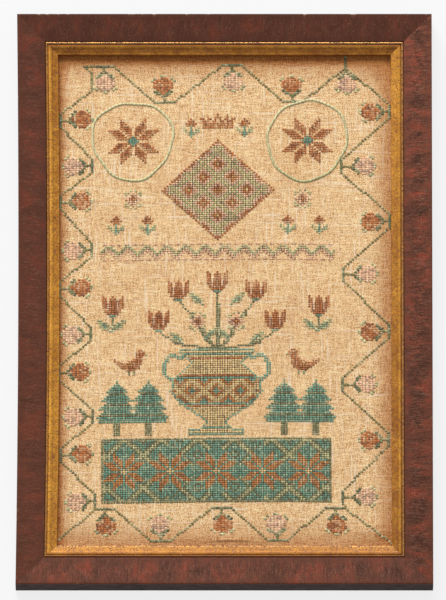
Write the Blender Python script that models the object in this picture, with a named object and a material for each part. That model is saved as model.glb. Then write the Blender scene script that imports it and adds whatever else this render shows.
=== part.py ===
"""A stitched sampler in its frame, lying on its back: four mitred hardwood rails, four gilt slips
inside them, the cloth that the slips press down at its margins, and the board behind the cloth.

Metres. X runs to the right of the work, Y to its top, Z out of its face. The origin is the centre
of the frame's back, where it lies on a table or against a wall.
"""

import math

import bmesh
import bpy

MM = 0.001

# Driving sizes
FRAME_WIDTH = 333.0 * MM
FRAME_HEIGHT = 472.5 * MM
FRAME_DEPTH = 21.0 * MM
RAIL_FACE = 22.6 * MM
LEFT_RAIL_BOW = 1.6 * MM
SEAT_GAP = 0.3 * MM

# Rail: its face falls towards the cloth, and a rebate behind its lip holds all the rest
FACE_FALL = 2.4 * MM
OUTER_ROUND = 0.9 * MM
SIGHT_ROUND = 0.7 * MM
LIP_DEPTH = 3.2 * MM
REBATE = 6.0 * MM

# Slip: a bead, a quirk, a torus that leans in, and a flat that falls a little to a soft edge
SLIP_SHOWS = 10.3 * MM
SLIP_HIDDEN = 5.2 * MM
SLIP_EDGE = 4.0 * MM
BEAD_WIDTH = 1.6 * MM
BEAD_BELOW_FACE = 0.7 * MM
QUIRK_WIDTH = 0.7 * MM
QUIRK_DEPTH = 0.9 * MM
TORUS_WIDTH = 4.0 * MM
TORUS_CROWN = 0.8 * MM
TORUS_FALL = 0.6 * MM
FLAT_STEP = 0.35 * MM
FLAT_FALL = 0.25 * MM
EDGE_ROUND = 0.5 * MM

# Cloth and the board behind it
CLOTH_THICK = 1.0 * MM
PUCKER_MOST = 1.1 * MM
PRESSED_EASE = 6 * MM
BOARD_THICK = 6.0 * MM
BOARD_ARRIS = 0.8 * MM

# How finely the curves are cut
ROUND_STEPS = 3
TORUS_STEPS = 6
BOW_STEPS = 12
CLOTH_CELLS_X = 32
CLOTH_CELLS_Y = 48
ROW_CROWDING = 1.4

FACE_AT_SIGHT = FRAME_DEPTH - FACE_FALL
LIP_UNDER = FACE_AT_SIGHT - LIP_DEPTH
BEAD_FOOT = FACE_AT_SIGHT - BEAD_BELOW_FACE - BEAD_WIDTH / 2
FLAT_END = BEAD_FOOT - TORUS_FALL - FLAT_STEP - FLAT_FALL
SLIP_UNDER = FLAT_END - SLIP_EDGE
CLOTH_TOP = SLIP_UNDER - SEAT_GAP
CLOTH_UNDER = CLOTH_TOP - CLOTH_THICK
BOARD_TOP = CLOTH_UNDER - SEAT_GAP
BOARD_BACK = BOARD_TOP - BOARD_THICK
HALF_WIDTH = FRAME_WIDTH / 2
HALF_HEIGHT = FRAME_HEIGHT / 2
MITRE_BACK = SEAT_GAP / 2 * math.sqrt(2)


def clear_scene():
    for old in list(bpy.data.objects):
        bpy.data.objects.remove(old)


def finish_material(name, colour, roughness, metallic=0.0):
    material = bpy.data.materials.new(name)
    material.use_nodes = True
    shader = material.node_tree.nodes["Principled BSDF"]
    shader.inputs["Base Color"].default_value = (*colour, 1.0)
    shader.inputs["Roughness"].default_value = roughness
    shader.inputs["Metallic"].default_value = metallic
    return material


def add_object(name, points, faces, material):
    """Puts a closed mesh in the scene, with its faces turned outwards."""
    mesh = bpy.data.meshes.new(name)
    mesh.from_pydata(points, [], faces)
    shape = bmesh.new()
    shape.from_mesh(mesh)
    bmesh.ops.recalc_face_normals(shape, faces=shape.faces)
    shape.to_mesh(mesh)
    shape.free()
    mesh.materials.append(material)
    thing = bpy.data.objects.new(name, mesh)
    bpy.context.scene.collection.objects.link(thing)
    return thing


def arc(centre, radius, start, turn, steps):
    """Points (in, up) on an arc about centre, from the start angle through turn, in degrees."""
    angles = [math.radians(start + turn * i / steps) for i in range(steps + 1)]
    return [(centre[0] + radius * math.cos(a), centre[1] + radius * math.sin(a)) for a in angles]


def rail_section():
    """The rail's outline as (distance in from the outer edge, height), going round once."""
    wall = RAIL_FACE - REBATE
    top_outer = arc((OUTER_ROUND, FRAME_DEPTH - OUTER_ROUND), OUTER_ROUND, 180, -90, ROUND_STEPS)
    sight_centre = (RAIL_FACE - SIGHT_ROUND, FACE_AT_SIGHT - SIGHT_ROUND)
    top_sight = arc(sight_centre, SIGHT_ROUND, 90, -90, ROUND_STEPS)
    lip = [(RAIL_FACE, LIP_UNDER), (wall, LIP_UNDER), (wall, 0.0)]
    return [(0.0, 0.0)] + top_outer + top_sight + lip


def slip_section():
    """The slip's outline as (distance in from the rails' sight edge, height), going round once."""
    bead_radius = BEAD_WIDTH / 2
    bead = arc((SEAT_GAP + bead_radius, BEAD_FOOT), bead_radius, 180, -180, 2 * ROUND_STEPS)
    bead_end = SEAT_GAP + BEAD_WIDTH
    torus_start = bead_end + QUIRK_WIDTH
    torus_end = torus_start + TORUS_WIDTH
    quirk = [(bead_end, BEAD_FOOT - QUIRK_DEPTH), (torus_start, BEAD_FOOT - QUIRK_DEPTH)]
    torus = []
    for i in range(TORUS_STEPS + 1):
        t = i / TORUS_STEPS
        crown = TORUS_CROWN * math.sin(math.pi * t)
        torus.append((torus_start + TORUS_WIDTH * t, BEAD_FOOT - TORUS_FALL * t + crown))
    flat = [(torus_end, FLAT_END + FLAT_FALL)]
    edge = arc((SLIP_SHOWS - EDGE_ROUND, FLAT_END - EDGE_ROUND), EDGE_ROUND, 90, -90, ROUND_STEPS)
    shoulder = LIP_UNDER - SEAT_GAP
    underside = [(SLIP_SHOWS, SLIP_UNDER), (-SLIP_HIDDEN, SLIP_UNDER)]
    tongue = [(-SLIP_HIDDEN, shoulder), (SEAT_GAP, shoulder)]
    return bead + quirk + torus + flat + edge + underside + tongue


def mitred_bar(name, section, inset, side, bow, material):
    """One side of a mitred rectangle, its section carried from mitre to mitre.

    inset is how far the section's zero lies inside the frame's outer edge. bow moves the bar's
    middle inwards, and fades to nothing at the mitres.
    """
    across = side in ("left", "right")
    half_run = HALF_HEIGHT if across else HALF_WIDTH
    half_span = HALF_WIDTH if across else HALF_HEIGHT
    points = []
    for i in range(BOW_STEPS + 1):
        t = 2 * i / BOW_STEPS - 1
        for inward, height in section:
            depth_in = inset + inward
            along = t * (half_run - depth_in - MITRE_BACK)
            inner = half_span - depth_in - bow * (1 - t * t)
            place = {
                "left": (-inner, along),
                "right": (inner, along),
                "top": (along, inner),
                "bottom": (along, -inner),
            }[side]
            points.append((*place, height))
    count = len(section)
    faces = [tuple(range(count)), tuple(range(BOW_STEPS * count, (BOW_STEPS + 1) * count))]
    for i in range(BOW_STEPS):
        for j in range(count):
            k = (j + 1) % count
            faces.append((i * count + j, i * count + k, (i + 1) * count + k, (i + 1) * count + j))
    return add_object(name, points, faces, material)


def soft_bump(distance, reach):
    """1 at distance 0, easing to 0 at reach and beyond."""
    near = max(0.0, 1 - (distance / reach) ** 2)
    return near * near


def pucker(x, y):
    """How far the cloth stands off the board at (x, y), as a share of PUCKER_MOST."""
    long_roll = soft_bump(x - 2 * MM, 78 * MM) * soft_bump(y + 196 * MM, 8 * MM)
    corner_roll = soft_bump(x - 122 * MM, 26 * MM) * soft_bump(y + 190 * MM, 12 * MM)
    side_pull = soft_bump(x - 121 * MM, 14 * MM) * soft_bump(y - 35 * MM, 150 * MM)
    swell = math.cos(x / (62 * MM)) * math.cos(y / (88 * MM))
    share = 0.22 + 0.2 * swell + 0.62 * (long_roll + corner_roll) + 0.25 * side_pull
    return min(1.0, max(0.0, share))


def cloth_sheet(name, left_edge, right_edge, half_y, material):
    """The cloth, one thin sheet: flat where the slips press on it, and puckered between them.

    Its rows lie closer together towards the bottom, where the cloth has slipped and rolls.
    """
    free_half_x = HALF_WIDTH - RAIL_FACE - SLIP_SHOWS - LEFT_RAIL_BOW
    free_half_y = HALF_HEIGHT - RAIL_FACE - SLIP_SHOWS
    tops = []
    for j in range(CLOTH_CELLS_Y + 1):
        y = -half_y + 2 * half_y * (j / CLOTH_CELLS_Y) ** ROW_CROWDING
        for i in range(CLOTH_CELLS_X + 1):
            x = left_edge + (right_edge - left_edge) * i / CLOTH_CELLS_X
            free_x = min(1.0, max(0.0, (free_half_x - abs(x)) / PRESSED_EASE))
            free_y = min(1.0, max(0.0, (free_half_y - abs(y)) / PRESSED_EASE))
            tops.append((x, y, PUCKER_MOST * pucker(x, y) * free_x * free_y))
    points = [(x, y, CLOTH_TOP + lift) for x, y, lift in tops]
    points += [(x, y, CLOTH_UNDER + lift) for x, y, lift in tops]
    row = CLOTH_CELLS_X + 1
    under = len(tops)
    faces = []
    for j in range(CLOTH_CELLS_Y):
        for i in range(CLOTH_CELLS_X):
            a = j * row + i
            quad = (a, a + 1, a + row + 1, a + row)
            faces.append(quad)
            faces.append(tuple(under + k for k in reversed(quad)))
    last = CLOTH_CELLS_Y * row
    rim = list(range(row)) + [j * row + CLOTH_CELLS_X for j in range(1, CLOTH_CELLS_Y + 1)]
    rim += [last + i for i in reversed(range(CLOTH_CELLS_X))]
    rim += [j * row for j in reversed(range(1, CLOTH_CELLS_Y))]
    for here, there in zip(rim, rim[1:] + rim[:1]):
        faces.append((here, there, under + there, under + here))
    return add_object(name, points, faces, material)


def board(name, left_edge, right_edge, half_y, material):
    """The plain board that fills the rebate behind the cloth, its back arrises eased."""
    levels = ((BOARD_BACK, BOARD_ARRIS), (BOARD_BACK + BOARD_ARRIS, 0.0), (BOARD_TOP, 0.0))
    points = []
    for height, inset in levels:
        left = left_edge + inset
        right = right_edge - inset
        up = half_y - inset
        points += [(left, -up, height), (right, -up, height), (right, up, height), (left, up, height)]
    faces = [(3, 2, 1, 0), (8, 9, 10, 11)]
    for level in (0, 4):
        for i in range(4):
            j = (i + 1) % 4
            faces.append((level + i, level + j, level + 4 + j, level + 4 + i))
    return add_object(name, points, faces, material)


def main():
    clear_scene()
    hardwood = finish_material("veneered_hardwood", (0.13, 0.045, 0.028), 0.42)
    gilt = finish_material("water_gilt_wood", (0.55, 0.30, 0.07), 0.45, 0.6)
    tammy = finish_material("tan_tammy_cloth", (0.60, 0.38, 0.20), 0.9)
    softwood = finish_material("bare_softwood", (0.42, 0.29, 0.17), 0.8)
    for side in ("left", "right", "top", "bottom"):
        bow = LEFT_RAIL_BOW if side == "left" else 0.0
        mitred_bar(f"rail_{side}", rail_section(), 0.0, side, bow, hardwood)
        mitred_bar(f"slip_{side}", slip_section(), RAIL_FACE, side, bow, gilt)
    rebate_half_x = HALF_WIDTH - RAIL_FACE + REBATE
    half_y = HALF_HEIGHT - RAIL_FACE + REBATE - SEAT_GAP
    right_edge = rebate_half_x - SEAT_GAP
    left_edge = -(rebate_half_x - LEFT_RAIL_BOW - SEAT_GAP)
    cloth_sheet("sampler_cloth", left_edge, right_edge, half_y, tammy)
    board("backing_board", left_edge, right_edge, half_y, softwood)


main()
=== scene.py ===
"""The looks of a framed cross stitch sampler: veneered rails, gilt slips, cloth, stitching and board.

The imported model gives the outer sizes. Each shape here is a surface worked out with numpy: an
outline carried along a side of the frame, a sheet over a grid, or yarn laid from hole to hole.
"""

import functools
import math

import bpy
import numpy as np
from bpy.props import FloatProperty, FloatVectorProperty, IntProperty, PointerProperty
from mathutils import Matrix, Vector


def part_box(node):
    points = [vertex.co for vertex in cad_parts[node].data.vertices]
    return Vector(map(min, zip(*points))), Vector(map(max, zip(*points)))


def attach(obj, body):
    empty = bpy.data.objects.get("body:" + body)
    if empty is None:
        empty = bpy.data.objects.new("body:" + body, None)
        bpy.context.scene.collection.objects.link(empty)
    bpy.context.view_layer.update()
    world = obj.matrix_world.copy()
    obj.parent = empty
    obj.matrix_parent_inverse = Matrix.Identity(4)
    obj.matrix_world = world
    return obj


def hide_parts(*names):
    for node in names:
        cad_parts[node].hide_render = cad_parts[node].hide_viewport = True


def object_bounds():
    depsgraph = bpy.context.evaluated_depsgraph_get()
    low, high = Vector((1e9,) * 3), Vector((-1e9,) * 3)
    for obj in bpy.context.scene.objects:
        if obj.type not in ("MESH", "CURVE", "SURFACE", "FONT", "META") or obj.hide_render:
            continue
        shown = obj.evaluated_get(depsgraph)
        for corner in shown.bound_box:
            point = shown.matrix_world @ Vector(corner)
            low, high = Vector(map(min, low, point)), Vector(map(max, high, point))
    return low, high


bl_info = {
    "name": "Framed Cross Stitch Sampler",
    "version": (1, 0, 0),
    "blender": (4, 5, 0),
    "location": "View3D > Sidebar > Sampler",
    "description": "Builds the rails, gilt slips, cloth, stitching and board of a framed sampler",
    "category": "Object",
}

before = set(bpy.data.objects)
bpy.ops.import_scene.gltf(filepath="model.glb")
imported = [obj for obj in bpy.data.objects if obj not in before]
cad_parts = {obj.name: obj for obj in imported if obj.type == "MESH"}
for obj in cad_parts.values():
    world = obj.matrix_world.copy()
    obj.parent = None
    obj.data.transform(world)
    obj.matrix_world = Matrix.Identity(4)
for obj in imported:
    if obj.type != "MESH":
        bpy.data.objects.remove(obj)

MM = 0.001

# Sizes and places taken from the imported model
CAD_LOW, CAD_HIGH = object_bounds()
HALF_WIDTH = CAD_HIGH.x
HALF_HEIGHT = CAD_HIGH.y
FRAME_DEPTH = CAD_HIGH.z
RAIL_LOW, RAIL_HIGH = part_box("rail_top")
SLIP_LOW, SLIP_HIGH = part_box("slip_top")
CLOTH_LOW, CLOTH_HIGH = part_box("sampler_cloth")
BOARD_LOW, BOARD_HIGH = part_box("backing_board")
RAIL_FACE = RAIL_HIGH.y - RAIL_LOW.y
LEFT_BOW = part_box("rail_left")[1].x + HALF_WIDTH - RAIL_FACE
SLIP_SHOWS = RAIL_LOW.y - SLIP_LOW.y
SLIP_HIDDEN = SLIP_HIGH.y - RAIL_LOW.y
SLIP_UNDER = SLIP_LOW.z
SEAT_GAP = 0.3 * MM
MITRE_BACK = 0.03 * MM
CLOTH_THICK = 1.0 * MM
CLOTH_TOP = CLOTH_LOW.z + CLOTH_THICK

# Which way each side of the frame lies from its middle
SIDES = {"top": (0, 1), "right": (1, 0), "bottom": (0, -1), "left": (-1, 0)}


def linear(code):
    """The linear colour of an sRGB hex value: each channel c becomes ((c + 0.055) / 1.055) ^ 2.4."""
    parts = [int(code[i : i + 2], 16) / 255 for i in (1, 3, 5)]
    return tuple(c / 12.92 if c <= 0.04045 else ((c + 0.055) / 1.055) ** 2.4 for c in parts)


def length(name, millimetres, description):
    return FloatProperty(name=name, description=description, default=millimetres * MM, unit="LENGTH")


def colour(name, code, description):
    return FloatVectorProperty(
        name=name, description=description, default=linear(code), subtype="COLOR", size=3, min=0, max=1
    )


class FrameSizes(bpy.types.PropertyGroup):
    """Sizes of the rails' and slips' sections."""

    face_fall: length("Face fall", 2.4, "How much lower the rail's face is at the sight edge")
    outer_round: length("Outer round", 0.9, "Radius of the rail's outer arris")
    sight_round: length("Sight round", 0.7, "Radius of the rail's sight edge")
    lip_depth: length("Lip depth", 3.2, "Thickness of the lip over the rebate")
    rebate: length("Rebate", 6.0, "Width of the rebate behind the lip")
    bead_width: length("Bead width", 1.7, "Width of the slip's outer bead")
    quirk_width: length("Quirk width", 0.5, "Width of the groove beside the bead")
    quirk_depth: length("Quirk depth", 0.7, "Depth of the groove below the bead's foot")
    torus_width: length("Torus width", 3.4, "Width of the slip's round moulding")
    torus_crown: length("Torus crown", 0.5, "How high the round moulding stands")
    torus_fall: length("Torus fall", 0.9, "How much the round moulding leans in")
    flat_step: length("Flat step", 0.2, "Step down from the round moulding to the flat")
    flat_fall: length("Flat fall", 0.7, "How much the flat falls to its edge")
    edge_round: length("Edge round", 0.5, "Radius of the slip's inner edge")
    chip_depth: length("Chip depth", 0.45, "How deep the knocks in the rails' outer arris go")


class StitchSizes(bpy.types.PropertyGroup):
    """Sizes of the cloth's threads and of the crosses worked on it."""

    cross_wide: length("Cross width", 1.94, "Width of one cross, over two warp threads")
    cross_high: length("Cross height", 1.79, "Height of one cross, over two weft threads")
    yarn_wide: length("Yarn width", 1.1, "Width of the flattened yarn")
    yarn_thick: length("Yarn thickness", 0.42, "Thickness of the flattened yarn")
    rise: length("Rise", 0.3, "How high the upper leg of a cross passes over the lower one")
    seed: IntProperty(name="Seed", description="Which uneven hand the stitches are worked with", default=7)


class SamplerColours(bpy.types.PropertyGroup):
    """Colours of the frame, the cloth and the dyed yarns."""

    veneer: colour("Veneer", "#673b2b", "Red-brown hardwood veneer under old polish")
    veneer_red: colour("Veneer flame", "#863f2c", "Redder bars across the veneer")
    veneer_dark: colour("Veneer dark", "#4c2a1d", "Darker bars and grime in the veneer")
    # Partly stain and partly painted shade: the sides are drawn as dark as their faces look in shade
    stain: colour("Stained side", "#423937", "Dark stain on the rails' outer sides")
    carcass: colour("Carcass", "#9c7a56", "Softwood under the veneer, seen from the back")
    gold: colour("Gold", "#e6a53e", "Rubbed gold leaf")
    gold_deep: colour("Deep gold", "#a2641b", "Gold leaf in the hollows")
    gold_thin: colour("Thin gold", "#e8b678", "Leaf rubbed so thin that it looks like copper")
    bole: colour("Bole", "#6a4236", "Red-brown clay that shows where the leaf is worn")
    cloth: colour("Cloth", "#fbc787", "Tan wool cloth")
    cloth_thin: colour("Cloth shade", "#9b6032", "Thin, browner places in the cloth")
    cloth_pale: colour("Cloth thread", "#fff2c6", "Paler threads in the cloth")
    slub: colour("Cloth slubs", "#fff0d8", "Thick pale places in the threads")
    # Also carries the painted shadow along the top and left slips
    cloth_brown: colour("Cloth stain", "#c4945f", "What browns the edges of the cloth")
    rust: colour("Rust", "#c57436", "Madder rust yarn")
    pink: colour("Pink", "#f3c099", "Faded pink yarn")
    sage: colour("Sage", "#c6c48e", "Pale sage green yarn")
    teal: colour("Teal", "#78a88c", "Blue-green yarn")
    forest: colour("Forest", "#7f8358", "Dark green yarn")
    olive: colour("Olive", "#968a54", "Olive green yarn of the border's vine")
    straw: colour("Straw", "#eccb8c", "Straw yellow yarn")
    amber: colour("Amber", "#cd8844", "Brown-orange yarn")
    board: colour("Board", "#a98a62", "Bare softwood board")
    floor: colour("Floor", "#646466", "Pale acrylic floor, lit from below")


# The yarns, in the order of the numbers that a canvas holds: 0 is a bare place
DYES = ("bare", "rust", "pink", "sage", "teal", "forest", "olive", "straw", "amber")
RUST, PINK, SAGE, TEAL, FOREST, OLIVE, STRAW, AMBER = range(1, len(DYES))


def node(tree, kind, inputs=(), output=0, stops=(), **settings):
    """Adds a node of a kind with its settings, and returns one of its outputs.

    inputs holds a value for each socket in turn, or maps sockets to values. A value may be the
    output that the socket is linked to. stops are the (position, colour) pairs of a colour ramp,
    where one number stands for a grey.
    """
    made = tree.nodes.new("ShaderNode" + kind)
    for key, value in settings.items():
        setattr(made, key, value)
    for key, value in inputs.items() if isinstance(inputs, dict) else enumerate(inputs):
        socket = made.inputs[key]
        if isinstance(value, bpy.types.NodeSocket):
            tree.links.new(value, socket)
        else:
            socket.default_value = (*value, 1) if socket.type == "RGBA" else value
    if stops:
        band = made.color_ramp.elements
        for position, _ in stops[1:-1]:
            band.new(position)
        for element, (position, tint) in zip(band, stops):
            element.position = position
            element.color = (*tint, 1) if np.iterable(tint) else (tint, tint, tint, 1)
    return made.outputs[output]


def new_material(name, shader_inputs, build):
    """A Principled material whose colour is laid on in coats, as the real finish is.

    build(add, place) returns its bare colour, the coats over that as (share, colour, how they
    mix), its relief as (height, strength, depth in mm), and what other sockets are linked to.
    add puts a node into the material's tree, and place is the object's own coordinates.
    """
    material = bpy.data.materials.new(name)
    material.use_nodes = True
    tree = material.node_tree
    add = functools.partial(node, tree)
    shader = tree.nodes["Principled BSDF"]
    for key, value in shader_inputs.items():
        shader.inputs[key].default_value = value
    body, coats, (height, strength, depth), links = build(add, add("TexCoord", output="Object"))
    for share, tint, blend in coats:
        body = add("Mix", {0: share, 6: body, 7: tint}, 2, data_type="RGBA", blend_type=blend)
    normal = add("Bump", {"Height": height, "Strength": strength, "Distance": depth * MM})
    for key, value in {"Base Color": body, "Normal": normal, **links}.items():
        tree.links.new(value, shader.inputs[key])
    return material


def grain(add, place, sizes, detail=2.0, roughness=0.5, twist=0.0):
    """Uneven grain from 0 to 1, mostly near 0.5, whose grains measure sizes = (x, y, z) in mm."""
    stretched = add("Mapping", {"Vector": place, "Scale": [1 / (s * MM) for s in sizes]})
    values = {"Vector": stretched, "Scale": 1.0, "Detail": detail, "Roughness": roughness}
    return add("TexNoise", {**values, "Distortion": twist})


def veneer_material(name, along, colours):
    """Crossbanded hardwood veneer, scraped and polished, now satin.

    Its grain runs across the rail, so redder and darker streaks cross it, wavy and a few
    millimetres wide. Old polish leaves a broad, weak sheen. along is 0 for X and 1 for Y. The
    attributes are wear, where the veneer is chipped; tone, painted light and shade that makes
    each rail, and each part of its face, lighter or darker as the light falls on it; and figure,
    the strength of its streaks.
    """

    def build(add, place):
        def streaks(fine, long, detail, twist):
            sizes = [fine if axis == along else long for axis in range(3)]
            return grain(add, place, sizes, detail, 0.6, twist)

        # tone is painted light and shade: each rail, and each part of its face, drawn lighter or darker as
        # the light falls on it
        tone = add("Attribute", output="Color", attribute_name="tone")
        wear, figure = (add("Attribute", output="Fac", attribute_name=key) for key in ("wear", "figure"))
        waves = streaks(1.5, 11, 3.0, 1.6)
        mixed = -0.5
        for value, share in ((streaks(13, 22, 2.0, 0.5), 0.6), (waves, 0.4)):
            mixed = add("Math", [value, share, mixed], operation="MULTIPLY_ADD")
        mixed = add("Math", [mixed, figure, 0.5], operation="MULTIPLY_ADD")
        stops = ((0.34, colours.veneer_dark), (0.5, colours.veneer), (0.64, colours.veneer_red))
        body = add("ValToRGB", [mixed], stops=stops)
        dust = grain(add, place, (0.9,) * 3, 0.0)
        scuffs = grain(add, place, (1.6,) * 3, 3.0, 0.7)
        lines, pores, hairs, dust, rough = (
            add("ValToRGB", [value], stops=((low, dark), (high, pale)))
            for value, low, dark, high, pale in (
                (streaks(0.8, 9, 2.0, 1.6), 0.38, 0.5, 0.56, 1),
                (grain(add, place, (0.85,) * 3), 0.38, 0.35, 0.6, 1),
                (streaks(0.7, 7, 1.0, 1.2), 0.58, 0, 0.72, 0.3),
                (dust, 0.78, 0, 0.8, 0.5),
                (scuffs, 0.35, 0.4, 0.7, 0.6),
            )
        )
        share, hairs = (add("Math", [figure, value], operation="MULTIPLY") for value in (0.6, hairs))
        coats = (
            (share, lines, "MULTIPLY"),
            (1.0, tone, "MULTIPLY"),
            (share, pores, "MULTIPLY"),
            (hairs, linear("#a07a68"), "MIX"),
            (dust, colours.carcass, "MIX"),
            (wear, colours.carcass, "MIX"),
        )
        return body, coats, (waves, 0.3, 0.15), {"Roughness": rough}

    return new_material(name, {"Specular IOR Level": 0.12}, build)


def wood_material(name, tint, lines, shades, relief, shader_inputs, clouds=None):
    """Softwood with no polish, in one colour that its grain makes lighter and darker.

    lines are the grain's sizes in mm, detail and roughness, shades (place in the grain, times
    the colour), relief (strength, depth in mm), and clouds the greyer patches that dust has left.
    """

    def build(add, place):
        uneven = grain(add, place, *lines)
        stops = [(at, [c * times for c in tint]) for at, times in shades]
        body = add("ValToRGB", [uneven], stops=stops)
        coats = []
        if clouds:
            patches = ((0.3, linear("#c8c2ba")), (0.7, 1))
            coats = [(1.0, add("ValToRGB", [grain(add, place, clouds)], stops=patches), "MULTIPLY")]
        return body, coats, (uneven, *relief), {}

    return new_material(name, shader_inputs, build)


# Deal, planed and left bare under the veneer, darkened by age
BARE_DEAL = (((4, 4, 1.5), 3.0, 0.6), ((0.3, 0.55), (0.65, 1.0)), (0.4, 0.2), {"Roughness": 0.85})
# The rails' outer sides, brushed with dark stain that has dried dull and a little streaky;
# their dark colour is partly that stain and partly painted shade for side faces turned from
# the light
STAIN_SHEEN = {"Roughness": 0.95, "Specular IOR Level": 0.05}
SIDE_STAIN_AND_PAINTED_SHADE = (((9, 9, 1.2),), ((0.35, 0.6), (0.65, 1.5)), (0.3, 0.1), STAIN_SHEEN)
# Deal, planed by hand: long growth lines, a few darker, and grey dust
DEAL_SHADES = ((0.34, 0.5), (0.5, 1.0), (0.7, 1.12))
DEAL_CLOUDS = (60, 90, 60)
PLANED_DEAL = (((3.2, 160, 30), 4.0, 0.6), DEAL_SHADES, (0.5, 0.2), {"Roughness": 0.82}, DEAL_CLOUDS)


def gilding_material(name, along, colours):
    """Water gilding: gold leaf over red-brown bole, burnished, then rubbed and dulled by age.

    The leaf is bright on the crests and deep in the hollows. Bole shows in specks, most of all
    along the bead, and in fine cracks across the slip. along is 0 for X and 1 for Y. The
    attributes say how far each point lies on a crest, with painted light added that makes parts
    of some slips brighter along their length; how far the leaf is rubbed, most on the bead, with a
    painted sheen towards the bottom slip's inner edge; and how dark each part is drawn, which
    is painted shade: each slip, and each part of its section, darker as the light falls on it.
    """

    def build(add, place):
        keys = ("crest", "rub", "grime")
        crest, rub, grime = (add("Attribute", output="Fac", attribute_name=key) for key in keys)
        mottle = grain(add, place, (2.6,) * 3, 4.0, 0.65)
        specks = grain(add, place, (0.9,) * 3)
        cracks = grain(add, place, [0.7 if axis == along else 9 for axis in range(3)], 1.0)
        lift, level = (
            add("Math", inputs, operation="MULTIPLY_ADD")
            for inputs in ([crest, 0.45, mottle], [rub, -0.1, specks])
        )
        leaf, patches, specks, cracks, rough = (
            add("ValToRGB", [value], stops=((low, first), (high, last)))
            for value, low, first, high, last in (
                (lift, 0.34, colours.gold_deep, 0.9, colours.gold),
                (grain(add, place, (16,) * 3), 0.32, linear("#dccfc8"), 0.62, 1),
                (level, 0.37, 1, 0.44, 0),
                (cracks, 0.27, 1, 0.31, 0),
                (mottle, 0.3, 0.4, 0.7, 0.6),
            )
        )
        worn = add("Math", [specks, cracks], operation="MAXIMUM")
        thin = add("Math", [rub, 0.75], operation="MULTIPLY")
        # Painted shade: the leaf is darkened where each slip is drawn in shade
        painted_shade_share = add("Math", [grime, 0.85], operation="MULTIPLY")
        metal = add("MapRange", {"Value": worn, "To Min": 0.4, "To Max": 0.0})
        coats = (
            (1.0, patches, "MULTIPLY"),
            (thin, colours.gold_thin, "MIX"),
            (painted_shade_share, linear("#8a6848"), "MULTIPLY"),
            (worn, colours.bole, "MIX"),
        )
        return leaf, coats, (mottle, 0.35, 0.15), {"Metallic": metal, "Roughness": rough}

    return new_material(name, {"Specular IOR Level": 0.25}, build)


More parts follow.
